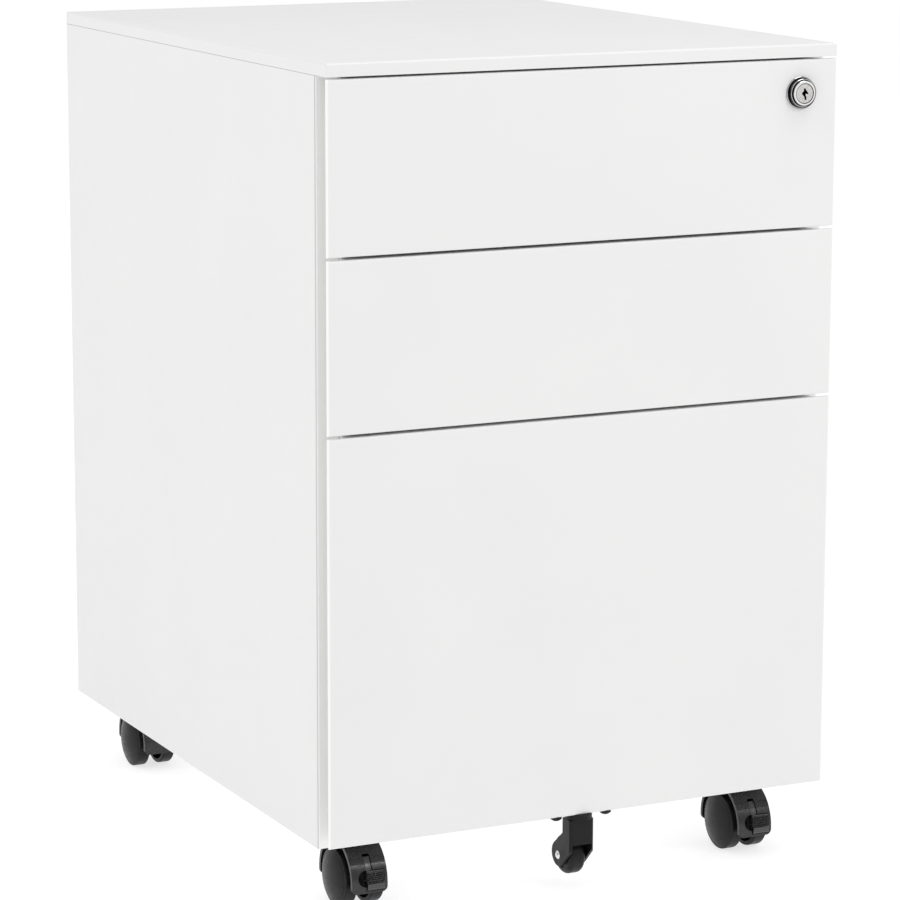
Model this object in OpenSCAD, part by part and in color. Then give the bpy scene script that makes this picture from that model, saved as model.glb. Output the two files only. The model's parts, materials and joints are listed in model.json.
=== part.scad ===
// Mobile pedestal filing cabinet in sheet steel: two box drawers over one file
// drawer, full-extension ball slides, a central lock and five casters.
// Millimetres, +Z up. The origin is on the floor, midway across the width and
// midway between the face of the lock and the back of the cabinet.

/* [Cabinet] */
// Width over the side panels
cabinet_w = 390; // [370:5:460]
// Depth from the face of the drawer fronts to the back
cabinet_d = 488; // [470:2:580]
// Height from the floor to the top
cabinet_h = 590; // [560:5:680]
// Clear height under the side panels, which is the height of a caster
underside_z = 53; // [53:1:56]
// Thickness of the panel sheet
sheet_t = 0.8; // [0.7:0.1:1]
// Outside radius of a folded edge
fold_r = 1.4; // [1.2:0.1:2]
// Height of the folded edge of the top panel
top_h = 9; // [8:0.5:12]
// Width of the lip folded under the top panel
top_lip = 22; // [20:1:30]
// Width of the flange that faces forward on each side panel
post_w = 18; // [18:0.5:20]
// Width of the flange that closes each side panel at the back
rear_flange_w = 14; // [10:1:20]
// Height of the folded edge of the base panel
base_rim_h = 10; // [6:1:11]
// Distance of the base panel's front edge behind the flanges
base_inset = 4; // [3.5:0.5:5.5]
// Height of the cross rail under the top panel
rail_h = 9.5; // [8:0.5:10]
// Depth of the cross rail, front to back
rail_d = 18; // [14:1:24]

/* [Drawer fronts] */
// Height of each of the two small fronts
small_front_h = 117.5; // [110:0.5:125]
// Gap between one front and the next
front_gap = 2; // [1.5:0.5:3]
// Gap between the top panel and the upper front
top_gap = 1.5; // [1:0.5:2.5]
// Height of the file front's lower edge above the side panels' lower edge
front_lift = 4.3; // [4:0.1:6]
// Distance from the face of a front to the flange behind it
front_offset = 18; // [18:0.5:22]
// Running gap between the back of a front and the flange
front_clear = 0.5; // [0.3:0.1:1]
// How far the finger groove reaches in from each side
grip_w = 17; // [16:0.5:18]
// Thickness of the hemmed edge at each side of a front
hem_t = 2.2; // [1.8:0.1:3]
// How far the top and bottom folds stop short of the side edge
fold_inset = 11; // [8:0.5:14]

/* [Drawer boxes] */
// Width of a slide, which is the gap at each side of a box
slide_w = 12.7; // [12.7:0.1:13]
// Height of a box above the lower edge of its front
box_lift = 8; // [7:0.5:10]
// Height of the two shallow boxes
small_box_h = 75; // [70:1:78]
// Height of the file box
file_box_h = 214; // [200:1:230]
// Width of the rim folded inwards along the top of a box
box_rim_w = 7; // [5:0.5:10]
// Distance of each file rail from the side of its box
rail_inset = 12; // [10:1:30]
// Height of a file rail
file_rail_h = 14; // [12:1:18]
// Thickness of a file rail
file_rail_t = 2; // [1.5:0.1:2.5]

/* [Slides] */
// Length of every slide member
slide_len = 430; // [400:5:440]
// Height of the outer slide member
slide_h = 45.6; // [44:0.2:48]
// Thickness of the slide steel
slide_t = 1.2; // [1:0.1:1.3]
// Diameter of a slide ball
ball_d = 3.6; // [3.2:0.1:3.8]
// Gap between one slide member's flange and the next
race_gap = 3; // [2.6:0.1:3.2]
// Number of balls in each row of a cage
balls_per_row = 7; // [4:1:10]
// Spacing of the balls along a cage
ball_pitch = 26; // [16:1:28]
// Height of a slide's centre above the floor of its box
slide_rise = 34; // [28:1:34]
// Height of the file drawer's slides above the floor of its box
file_slide_rise = 110; // [60:5:160]

/* [Lock] */
// Distance of the lock's centre from the right edge of the front
lock_side = 29.5; // [28:0.5:32]
// Distance of the lock's centre below the top panel
lock_drop = 24.6; // [23:0.2:28]
// Diameter of the lock's flange
lock_d = 23; // [22.4:0.2:25]
// Diameter of the barrel behind the front
barrel_d = 17; // [16:0.5:17.5]
// Diameter of the part of the lock that the key turns
plug_d = 13.8; // [12.6:0.2:14]
// How far the lock stands out of the front
lock_proud = 6; // [4:0.5:8]
// Distance from the lock's centre to the pin on its cam
cam_r = 8.8; // [8:0.2:10]
// Turn of the key between open and locked, in degrees
key_turn = 90; // [90:1:90]

/* [Casters] */
// Distance from each side of the cabinet to a caster's swivel pin
caster_inset = 41; // [41:1:60]
// Distance from the flanges to the front swivel pins
caster_front = 42; // [42:1:60]
// Distance from the back of the cabinet to the back swivel pins
caster_back = 37; // [37:1:60]
// Distance from a swivel pin to the axle of its wheels
caster_trail = 9; // [7:0.5:10]
// Diameter of a caster wheel
wheel_d = 41; // [39:0.5:41]
// Overall width of a twin-wheel caster
caster_w = 39; // [36:0.5:42]
// Width of the hood over the wheels
hood_w = 27; // [25:0.5:29]
// Distance from the axle to the outside of the hood
hood_r = 28; // [27.5:0.1:28]
// Thickness of the hood's shell
hood_t = 2.4; // [2:0.1:2.6]
// Width of the web between the two wheels
web_w = 11; // [10:0.2:12]
// Height of the hood's lower edge above the floor
hood_z = 14.5; // [12:0.5:15]
// Diameter of a caster axle
axle_d = 6; // [5:0.5:6]
// Diameter of a swivel pin
kingpin_d = 6; // [5:0.5:6]
// Side of the square mounting plate
plate_w = 42; // [40:1:46]
// Thickness of the mounting plate
plate_t = 2.5; // [2:0.1:2.8]

/* [Anti-tip caster] */
// Diameter of the anti-tip wheel
tip_wheel_d = 28; // [26:0.5:29]
// Width of the anti-tip wheel
tip_wheel_w = 13; // [11:0.5:14]
// Clearance between the anti-tip wheel and the floor
tip_clear = 9.5; // [6:0.5:10]
// Outside width of the anti-tip fork
tip_fork_w = 19; // [18:0.5:21]
// Thickness of the fork's steel
tip_fork_t = 2; // [1.6:0.1:2.4]
// Distance from the face of the front to the fork's swivel pin
tip_back = 7; // [7:0.5:9]
// Distance from the swivel pin back to the wheel's axle
tip_trail = 13; // [11:0.5:14]
// Distance between the two screws that hold the anti-tip caster
tip_screw_pitch = 39; // [36:1:44]

/* [Hidden] */
$fn = 64;
eps = 0.01;
run_fit = 0.05;     // radial clearance of a pin in its bore
slip = 0.3;         // clearance between pieces that pass each other

// Cabinet planes
half_w = cabinet_w / 2;
face_y = -(cabinet_d - lock_proud) / 2;
back_y = face_y + cabinet_d;
flange_y = face_y + front_offset;
top_z = cabinet_h - top_h;
inner_w = half_w - sheet_t;
opening_x = half_w - post_w;
floor_z = underside_z + sheet_t;

// Drawer fronts, from the top down: [lower edge, upper edge]
fronts_top = top_z - top_gap;
front_1 = [fronts_top - small_front_h, fronts_top];
front_2 = [front_1[0] - front_gap - small_front_h, front_1[0] - front_gap];
front_3 = [underside_z + front_lift, front_2[0] - front_gap];
fronts = [front_1, front_2, front_3];
pan_back_y = flange_y - front_clear;
pan_x = half_w - grip_w;

// Drawer boxes
box_x = opening_x - slide_w;
box_back_y = pan_back_y + slide_len + 14;
box_h = [small_box_h, small_box_h, file_box_h];
rises = [slide_rise, slide_rise, file_slide_rise];
function box_z(i) = fronts[i][0] + box_lift;
function slide_z(i) = box_z(i) + rises[i];

// Slides
slide_y = flange_y + 18;
race_depth = (ball_d + 0.2 - race_gap) / 2;
mid_h = slide_h - 2 * (slide_t + race_gap);
runner_h = mid_h - 2 * (slide_t + race_gap);
mid_u = 2 * slide_t;
ball_u = slide_w / 2 + 0.2;
cage_t = 0.6;
cage_len = ball_pitch * balls_per_row;

// Lock and lock bar, front to back
lock_x = half_w - lock_side;
lock_z = top_z - lock_drop;
lock_face_y = face_y - lock_proud;
cam_y = flange_y + 2.3;
cam_t = 1.5;
bar_y = cam_y + cam_t + 0.6;
bar_t = 1.8;
bar_x = [opening_x + 3, half_w - 5];
upright_y = bar_y + bar_t + slip;
upright_d = 30;
catch_y = upright_y + 1;
pin_x = lock_x + cam_r * cos(key_turn / 2);
pin_z = lock_z - cam_r * sin(key_turn / 2);
bar_foot_z = floor_z + 45;
head_h = 12;
hook_x = opening_x - 9;
catch_h = 8;
hook_h = 9;
hook_gap = 1.5;
function catch_z(i) = box_z(i) + box_h[i] - catch_h - 2.5;

// Casters
caster_x = half_w - caster_inset;
caster_ys = [flange_y + caster_front, back_y - caster_back];
axle_z = wheel_d / 2;
plate_z = underside_z - plate_t;
boss_z = plate_z - slip;
kingpin_l = 13;
wheel_in = web_w / 2 + slip;
wheel_out = caster_w / 2;
tread_out = hood_w / 2 + 0.5;

// Anti-tip caster
tip_y = face_y + tip_back;
tip_axle_y = tip_y + tip_trail;
tip_axle_z = tip_clear + tip_wheel_d / 2;
tip_top_z = front_3[0] - 4.3;
tip_screw_y = tip_y - 3;
tip_screw_r = 4.2;

// ---------------------------------------------------------------- helpers

module mirrored_x() {
    children();
    mirror([1, 0, 0]) children();
}

// Box between two opposite corners
module block(a, b) {
    translate(a) cube(b - a);
}

// Cylinder along X, Y or Z from a start point
module rod_x(p, r, l) { translate(p) rotate([0, 90, 0]) cylinder(r = r, h = l); }
module rod_y(p, r, l) { translate(p) rotate([-90, 0, 0]) cylinder(r = r, h = l); }
module rod_z(p, r, l) { translate(p) cylinder(r = r, h = l); }

// Rectangle between two corners with its corners rounded to radius r
module rounded(a, b, r) {
    translate([a[0] + r, a[1]]) square([b[0] - a[0] - 2 * r, b[1] - a[1]]);
    translate([a[0], a[1] + r]) square([b[0] - a[0], b[1] - a[1] - 2 * r]);
    for (x = [a[0] + r, b[0] - r], y = [a[1] + r, b[1] - r])
        translate([x, y]) circle(r);
}

// Outline in X and Z, extruded along Y from y0 to y1
module along_y(y0, y1) {
    translate([0, y1, 0]) rotate([90, 0, 0]) linear_extrude(y1 - y0) children();
}

// Outline in Y and Z, extruded along X from x0 to x1
module along_x(x0, x1) {
    translate([x0, 0, 0]) rotate([90, 0, 90]) linear_extrude(x1 - x0) children();
}

// Section of a folded sheet: straight runs between the points of a square-cornered
// path along the sheet's middle, with a round bend of middle radius r at each corner
module folded_sheet(path, t, r) {
    last = len(path) - 1;
    for (i = [0 : last - 1]) {
        d = (path[i + 1] - path[i]) / norm(path[i + 1] - path[i]);
        a = path[i] + (i > 0 ? r : 0) * d;
        b = path[i + 1] - (i < last - 1 ? r : 0) * d;
        side = [abs(d[1]), abs(d[0])] * t / 2;
        low = [min(a[0], b[0]), min(a[1], b[1])] - side;
        high = [max(a[0], b[0]), max(a[1], b[1])] + side;
        translate(low) square(high - low);
        if (i < last - 1) {
            turn = (path[i + 2] - path[i + 1]) / norm(path[i + 2] - path[i + 1]);
            corner = (d - turn) * (r + t / 2);
            centre = path[i + 1] + (turn - d) * r;
            translate(centre) intersection() {
                difference() {
                    circle(r + t / 2);
                    circle(r - t / 2);
                }
                translate([min(corner[0], 0), min(corner[1], 0)])
                    square([abs(corner[0]), abs(corner[1])]);
            }
        }
    }
}

// Screw along -Z: a domed pan head at the given point and a shank going up
module pan_screw(p, head_r, head_h, shank_r, shank_l) {
    translate(p) {
        difference() {
            intersection() {
                translate([0, 0, -head_h]) cylinder(r = head_r, h = head_h);
                translate([0, 0, head_r * 1.3 - head_h]) sphere(head_r * 1.3);
            }
            for (a = [0, 90]) rotate(a)
                translate([-head_r * 0.5, -0.3, -head_h - eps]) cube([head_r, 0.6, head_h * 0.5]);
        }
        cylinder(r = shank_r, h = shank_l);
    }
}

// ---------------------------------------------------------------- cabinet

module top_panel() color("white") {
    t = sheet_t + 0.1;
    difference() {
        intersection() {
            along_y(face_y, back_y) rounded([-half_w, top_z - fold_r], [half_w, cabinet_h], fold_r);
            along_x(-half_w, half_w) rounded([face_y, top_z - fold_r], [back_y, cabinet_h], fold_r);
            translate([0, 0, top_z]) linear_extrude(top_h)
                rounded([-half_w, face_y], [half_w, back_y], fold_r);
        }
        block([-half_w + t, face_y + t, top_z + t], [half_w - t, back_y - t, cabinet_h - t]);
        block([-half_w + top_lip, face_y + top_lip, top_z - 1],
              [half_w - top_lip, back_y - top_lip, top_z + t + eps]);
    }
}

// Side sheet with its front flange, the short lip behind that flange and the rear flange
module side_panel() {
    m = sheet_t / 2;
    r = fold_r - m;
    translate([0, 0, underside_z]) linear_extrude(top_z - underside_z)
        folded_sheet([
            [half_w - rear_flange_w, back_y - m],
            [half_w - m, back_y - m],
            [half_w - m, flange_y + m],
            [opening_x + m, flange_y + m],
            [opening_x + m, flange_y + 2]
        ], sheet_t, r);
}

module left_side_panel() color("white") mirror([1, 0, 0]) side_panel();
module right_side_panel() color("white") side_panel();

module back_panel() color("white") {
    x = half_w - fold_r;
    block([-x, back_y - 2 * sheet_t, floor_z], [x, back_y - sheet_t, top_z]);
}

// Shallow tray that ties the two sides and carries the casters
module base_panel() color("white") {
    y0 = flange_y + base_inset;
    y1 = back_y - 2 * sheet_t;
    difference() {
        block([-inner_w, y0, underside_z], [inner_w, y1, underside_z + base_rim_h]);
        block([-inner_w + sheet_t, y0 + sheet_t, floor_z],
              [inner_w - sheet_t, y1 - sheet_t, underside_z + base_rim_h + 1]);
        for (x = [-caster_x, caster_x], y = caster_ys, p = plate_holes())
            rod_z([x + p[0], y + p[1], underside_z - 1], 2.1, 4);
    }
}

// Channel across the front, under the top panel
module front_rail() color("white") {
    m = sheet_t / 2;
    y0 = flange_y + sheet_t + 4;
    along_x(-inner_w, inner_w)
        folded_sheet([
            [y0 + rail_d, top_z - m],
            [y0 + m, top_z - m],
            [y0 + m, top_z - rail_h + m],
            [y0 + rail_d, top_z - rail_h + m]
        ], sheet_t, fold_r - m);
}

// Post between the side panel and the slides, open towards the side panel
module upright(y0) {
    m = sheet_t / 2;
    translate([0, 0, floor_z]) linear_extrude(top_z - floor_z - rail_h - 1)
        folded_sheet([
            [inner_w - sheet_t, y0 + m],
            [opening_x + m, y0 + m],
            [opening_x + m, y0 + upright_d - m],
            [inner_w - sheet_t, y0 + upright_d - m]
        ], sheet_t, fold_r - m);
    // Feet welded to the side panel along both edges of the post
    for (y = [y0, y0 + upright_d - sheet_t])
        block([inner_w - sheet_t - eps, y, floor_z + base_rim_h],
              [inner_w, y + sheet_t, top_z - rail_h - 1]);
}

function upright_ys() = [upright_y, slide_y + slide_len - upright_d - 6];

module slide_uprights() color("white") {
    mirrored_x() difference() {
        for (y = upright_ys()) upright(y);
        for (i = [0 : 2], y = screw_ys())
            rod_x([opening_x - 1, y, slide_z(i)], 1.6, 4);
    }
    // Straps that hold the lock bar against the right-hand front post
    for (z = strap_zs()) lock_bar_strap(z);
}

function strap_zs() = [fronts[1][1] + 4, fronts[2][1] - 45, bar_foot_z + 15];

module lock_bar_strap(z) {
    y1 = bar_y - slip;
    x0 = bar_x[0] - slip - sheet_t;
    x1 = bar_x[1] + slip + sheet_t;
    difference() {
        block([x0, y1 - sheet_t, z], [x1, upright_y, z + 8]);
        block([x0 + sheet_t, y1, z - 1], [x1 - sheet_t, upright_y + 1, z + 9]);
    }
}

// ---------------------------------------------------------------- slides

function screw_ys() = [for (y = upright_ys()) y + upright_d / 2];

// Section across a slide: u runs from the cabinet (0) towards the drawer (slide_w)
module slide_channel(u0, u1, h, race_out) {
    difference() {
        folded_sheet([
            [u1, h / 2 - slide_t / 2],
            [u0 + slide_t / 2, h / 2 - slide_t / 2],
            [u0 + slide_t / 2, -h / 2 + slide_t / 2],
            [u1, -h / 2 + slide_t / 2]
        ], slide_t, slide_t);
        for (s = [-1, 1]) {
            translate([ball_u, s * race_centre(h, false)]) circle(race_r());
            if (race_out) translate([ball_u, s * race_centre(h, true)]) circle(race_r());
        }
    }
}

// Distance of a row of balls from the slide's centre, for the row outside a
// member of height h or for the row inside its flanges
function race_centre(h, outside) = outside ? h / 2 + race_gap / 2
                                           : h / 2 - slide_t - race_gap / 2;
function race_r() = (race_gap + 2 * race_depth) / 2;

// Places a section of the right-hand slide in the cabinet, at height z
module slide_bar(z, y0, y1) {
    translate([opening_x, 0, z]) along_y(y0, y1) mirror([1, 0]) children();
}

module outer_slides(i) color("silver") mirrored_x() difference() {
    slide_bar(slide_z(i), slide_y, slide_y + slide_len)
        slide_channel(0, slide_w - 1.7, slide_h, false);
    for (y = screw_ys()) {
        rod_x([opening_x - 3, y, slide_z(i)], 1.6, 4);
        rod_x([opening_x - slide_t - 2, y, slide_z(i)], 3.4, 2.4);
    }
}

module middle_slides(i) color("silver") mirrored_x()
    slide_bar(slide_z(i), slide_y + 2, slide_y + slide_len - 2)
        slide_channel(mid_u, slide_w - 1.2, mid_h, true);

module runners(i) color("silver") {
    mirrored_x() slide_bar(slide_z(i), slide_y, slide_y + slide_len - 4)
        difference() {
            translate([slide_w, 0]) mirror([1, 0])
                folded_sheet([
                    [slide_w - mid_u - slide_t - 1.4, runner_h / 2 - slide_t / 2],
                    [slide_t / 2, runner_h / 2 - slide_t / 2],
                    [slide_t / 2, -runner_h / 2 + slide_t / 2],
                    [slide_w - mid_u - slide_t - 1.4, -runner_h / 2 + slide_t / 2]
                ], slide_t, slide_t);
            for (s = [-1, 1])
                translate([ball_u, s * race_centre(runner_h, true)]) circle(race_r());
        }
    lock_catch(i);
}

// Angle on the right side of a box, just ahead of its runner, for the lock bar's hook
module lock_catch(i) {
    z = catch_z(i);
    block([box_x, catch_y, z], [opening_x - 2, catch_y + 1.5, z + catch_h]);
    block([box_x, catch_y, z], [box_x + 1.5, slide_y - 1, z + catch_h]);
}

// Pressed cage with its two rows of balls, running outside a member of height h
module cages(i, h, u0, y0) mirrored_x() {
    v = race_centre(h, true);
    color("gainsboro") difference() {
        slide_bar(slide_z(i), y0, y0 + cage_len)
            folded_sheet([
                [ball_u + ball_d / 2 + 0.8, v],
                [u0, v],
                [u0, -v],
                [ball_u + ball_d / 2 + 0.8, -v]
            ], cage_t, 1);
        for (n = [0 : balls_per_row - 1], s = [-1, 1])
            rod_z([opening_x - ball_u, y0 + (n + 0.5) * ball_pitch, slide_z(i) + s * v - 2],
                  ball_d / 2 + 0.1, 4);
    }
    color("silver") for (n = [0 : balls_per_row - 1], s = [-1, 1])
        translate([opening_x - ball_u, y0 + (n + 0.5) * ball_pitch, slide_z(i) + s * v])
            sphere(ball_d / 2, $fn = 24);
}

module outer_cages(i)
    cages(i, mid_h, (slide_t + mid_u) / 2, slide_y + slide_len / 2 - cage_len / 2);

module inner_cages(i)
    cages(i, runner_h, mid_u + slide_t + 0.6, slide_y + slide_len / 2 - cage_len / 2);

// Screws that hold the outer slides to the posts, with their heads in the slide
module slide_screws() color("silver") mirrored_x()
    for (i = [0 : 2], y = screw_ys()) {
        rod_x([opening_x - slide_t - 1, y, slide_z(i)], 3, 1);
        rod_x([opening_x - slide_t - eps, y, slide_z(i)], 1.5, slide_t + sheet_t + 1.5);
    }

// ---------------------------------------------------------------- drawers

// Folded pan with hemmed side edges and a finger groove down each side
module front_pan(i) {
    z0 = fronts[i][0];
    z1 = fronts[i][1];
    edge_r = hem_t / 2 - 0.1;
    difference() {
        intersection() {
            translate([0, 0, z0]) linear_extrude(z1 - z0) {
                rounded([-half_w, face_y], [half_w, face_y + hem_t], edge_r);
                translate([-pan_x, face_y]) square([2 * pan_x, pan_back_y - face_y]);
            }
            along_x(-half_w, half_w)
                rounded([face_y, z0], [pan_back_y + 2 * fold_r, z1], fold_r);
        }
        block([-pan_x + sheet_t, face_y + sheet_t, z0 + sheet_t],
              [pan_x - sheet_t, pan_back_y + 1, z1 - sheet_t]);
    }
    // Ends of the top and bottom folds, cut back on a slant towards the groove
    mirrored_x() for (z = [z0, z1 - sheet_t]) translate([0, 0, z]) linear_extrude(sheet_t)
        polygon([[pan_x - 1, pan_back_y], [pan_x - 1, face_y + hem_t - 0.5],
                 [half_w - fold_inset, face_y + hem_t - 0.5], [pan_x, pan_back_y]]);
}

module drawer_front_1() color("white") difference() {
    front_pan(0);
    rod_y([lock_x, face_y - 1, lock_z], barrel_d / 2 + 0.1, sheet_t + 2);
}

module drawer_front_2() color("white") front_pan(1);

module drawer_front_3() color("white") difference() {
    front_pan(2);
    for (x = [-tip_screw_pitch / 2, tip_screw_pitch / 2])
        rod_z([x, tip_screw_y, fronts[2][0] - 1], 2.2, sheet_t + 2);
    rod_z([0, tip_y, fronts[2][0] - 1], kingpin_d / 2 + slip, sheet_t + 2);
}

// Welded tub: floor and sides in one folded sheet, a back, and an inner front
// that closes the pan of the drawer front
module drawer_box(i) color("white") {
    m = sheet_t / 2;
    z0 = box_z(i);
    z1 = z0 + box_h[i];
    along_y(pan_back_y, box_back_y)
        folded_sheet([
            [box_x - box_rim_w, z1 - m], [box_x - m, z1 - m],
            [box_x - m, z0 + m], [-box_x + m, z0 + m],
            [-box_x + m, z1 - m], [-box_x + box_rim_w, z1 - m]
        ], sheet_t, fold_r - m);
    block([-box_x + m, box_back_y - sheet_t, z0 + m], [box_x - m, box_back_y, z1 - m]);
    difference() {
        block([-pan_x + sheet_t, pan_back_y - sheet_t, fronts[i][0] + sheet_t],
              [pan_x - sheet_t, pan_back_y, fronts[i][1] - sheet_t]);
        if (i == 0) lock_notch();
    }
}

// Notch, open at the top, that the lock's barrel passes through
module lock_notch() {
    r = barrel_d / 2 + slip;
    block([lock_x - r, pan_back_y - 2, lock_z - r], [lock_x + r, pan_back_y + 1, fronts[0][1]]);
}

// Bars inside the file box that hanging folders hook over
module file_rails() color("silver") mirrored_x() {
    x = box_x - rail_inset;
    z1 = box_z(2) + box_h[2];
    block([x - file_rail_t, pan_back_y, z1 - file_rail_h], [x, box_back_y - sheet_t, z1]);
}

// ---------------------------------------------------------------- lock

// Chromed body in three steps, with the barrel that passes through the front
module lock_housing() color("silver") {
    steps = [[lock_d / 2, 1.3], [lock_d / 2 - 1.3, lock_proud - 1.6],
             [lock_d / 2 - 2.5, lock_proud]];
    soften = 0.4;
    translate([lock_x, face_y, lock_z]) rotate([90, 0, 0]) difference() {
        union() {
            for (s = steps) rotate_extrude() polygon([
                [0, 0], [s[0], 0], [s[0], s[1] - soften], [s[0] - soften, s[1]], [0, s[1]]
            ]);
            translate([0, 0, face_y - cam_y + slip]) cylinder(r = barrel_d / 2, h = cam_y - face_y);
        }
        translate([0, 0, face_y - cam_y - 1])
            cylinder(r = plug_d / 2 + run_fit, h = cam_y - face_y + lock_proud + 2);
    }
}

// Nut that clamps the housing to the front, its flats upright
module lock_nut() color("silver")
    translate([lock_x, face_y + sheet_t, lock_z]) rotate([-90, 30, 0]) difference() {
        cylinder(d = (barrel_d + 4) / cos(30), h = 3.5, $fn = 6);
        translate([0, 0, -1]) cylinder(r = barrel_d / 2 + 0.02, h = 6);
    }

// Plug with a zigzag keyway and a square tail for the cam
module lock_plug() color("silver") {
    tail = 5;
    difference() {
        union() {
            rod_y([lock_x, lock_face_y + 0.3, lock_z], plug_d / 2, cam_y - lock_face_y - 0.3);
            block([lock_x - tail / 2, cam_y - eps, lock_z - tail / 2],
                  [lock_x + tail / 2, cam_y + cam_t, lock_z + tail / 2]);
        }
        translate([lock_x, 0, lock_z]) along_y(lock_face_y - 1, lock_face_y + 9) keyway();
    }
}

module keyway() {
    polygon([[-0.8, 3.6], [0.8, 3.6], [0.9, 2.5], [1.7, 1.8], [2.9, 0.2], [2.6, -0.6],
             [1, -0.2], [0.6, -0.9], [1.3, -2.4], [1.4, -4.4], [0, -4.4], [-0.3, -2.4],
             [-2.4, -0.1], [-2, 0.7], [-0.9, 1.7]]);
}

// Cam plate with the drive pin that rides in the lock bar's slot
module lock_cam() color("silver") {
    along_y(cam_y, cam_y + cam_t) difference() {
        union() {
            translate([lock_x, lock_z]) circle(6);
            translate([pin_x, pin_z]) circle(2.6);
            translate([lock_x, lock_z]) rotate(-key_turn / 2) translate([0, -2.6]) square([cam_r, 5.2]);
        }
        translate([lock_x - 2.5, lock_z - 2.5]) square(5);
    }
    rod_y([pin_x, cam_y + cam_t - eps, pin_z], 1.6, bar_y + bar_t - cam_y - cam_t - 0.1);
}

// Upright bar that slides in its straps
module lock_bar() color("silver")
    block([bar_x[0], bar_y, bar_foot_z], [bar_x[1], bar_y + bar_t, pin_z + head_h / 2]);

// Plates welded along the bar: a slotted head for the cam's pin, and a hook for
// each drawer
module lock_hooks() color("silver") along_y(bar_y, bar_y + bar_t) {
    slot_r = 2.1;
    slot_end = lock_x + cam_r;
    reach = bar_x[0] - hook_x;
    for (i = [0 : 2]) translate([hook_x, catch_z(i) - hook_gap - hook_h]) square([reach, hook_h]);
    difference() {
        translate([hook_x, pin_z - head_h / 2]) square([reach, head_h]);
        translate([pin_x, pin_z - slot_r]) square([slot_end - pin_x, 2 * slot_r]);
        for (x = [pin_x, slot_end]) translate([x, pin_z]) circle(slot_r);
    }
}

// ---------------------------------------------------------------- casters

function plate_holes() = [for (x = [-1, 1], y = [-1, 1]) [x, y] * (plate_w / 2 - 6)];
function caster_spots() = [for (y = caster_ys, x = [-caster_x, caster_x]) [x, y]];

// Square plates under the base, each with the pin that its hood swivels on
module caster_plates() color("dimgray") for (p = caster_spots()) translate([p[0], p[1], 0]) {
    difference() {
        translate([0, 0, plate_z]) linear_extrude(plate_t)
            rounded([-plate_w / 2, -plate_w / 2], [plate_w / 2, plate_w / 2], 4);
        for (h = plate_holes()) rod_z([h[0], h[1], plate_z - 1], 2.1, plate_t + 2);
    }
    rod_z([0, 0, plate_z - kingpin_l], kingpin_d / 2, kingpin_l + eps);
}

// Hood over a pair of wheels; its swivel pin is at the origin in X and Y
module hood(braked) color([0.13, 0.13, 0.14]) {
    ay = -caster_trail;
    half = hood_w / 2;
    difference() {
        intersection() {
            union() {
                rod_x([-half, ay, axle_z], hood_r, hood_w);
                block([-half, ay - hood_r, hood_z], [half, ay + hood_r, axle_z]);
                rod_z([0, 0, axle_z + hood_r - 6], 9, boss_z - axle_z - hood_r + 6);
            }
            along_y(ay - hood_r - 1, ay + hood_r + 1)
                rounded([-half, hood_z], [half, boss_z + 4], 4);
            block([-half - 1, ay - hood_r - 1, hood_z], [half + 1, ay + hood_r + 1, boss_z]);
        }
        mirrored_x() {
            rod_x([web_w / 2, ay, axle_z], hood_r - hood_t, half);
            block([web_w / 2, ay - hood_r + hood_t, hood_z - 1],
                  [half + 1, ay + hood_r - hood_t, axle_z]);
        }
        rod_x([-web_w, ay, axle_z], axle_d / 2 + 0.02, 2 * web_w);
        rod_z([0, 0, plate_z - kingpin_l - slip], kingpin_d / 2 + run_fit, kingpin_l + 2 * slip);
        if (braked) pedal_pocket(ay);
    }
    if (braked) {
        rod_x([pedal_x[0] - 1.6, ay + pivot[0], pivot[1]], pivot_r, pedal_x[1] - pedal_x[0] + 2.4);
        block([pedal_x[1] + 0.5, ay - hood_r + hood_t / 2, pivot[1] - 2],
              [pedal_x[1] + 1.5, ay + pivot[0] + 1.2, pivot[1] + 2]);
    }
}

// Brake pedal: its span in X, its pivot in Y and Z from the axle, and the pivot's radius
pedal_x = [-2.2, 10.8];
pedal_z = [hood_z + 1.9, axle_z + 9.7];
pivot = [-hood_r + 3.8, axle_z + 2.5];
pivot_r = 1;
arm_x = 2.2;

module pedal_pocket(ay) {
    inner = hood_r - 7;
    block([pedal_x[0] - 0.4, ay - hood_r - 1, pedal_z[0] - 0.4],
          [pedal_x[1] + 0.5, ay - inner, pedal_z[1] + 0.4]);
    difference() {
        block([-arm_x - 0.5, ay - hood_r - 1, pedal_z[1] - 2.6],
              [arm_x + 0.5, ay - 12, axle_z + 20]);
        rod_x([-5, ay, axle_z], inner, 10);
    }
    // Scooped window beside the pedal
    intersection() {
        translate([pedal_x[0], ay - hood_r - 3.5, pedal_z[1] - 4.6]) sphere(7.5);
        block([pedal_x[0] - 9, ay - hood_r - 1, pedal_z[0]], [pedal_x[0], ay, pedal_z[1] + 0.4]);
    }
}

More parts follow.
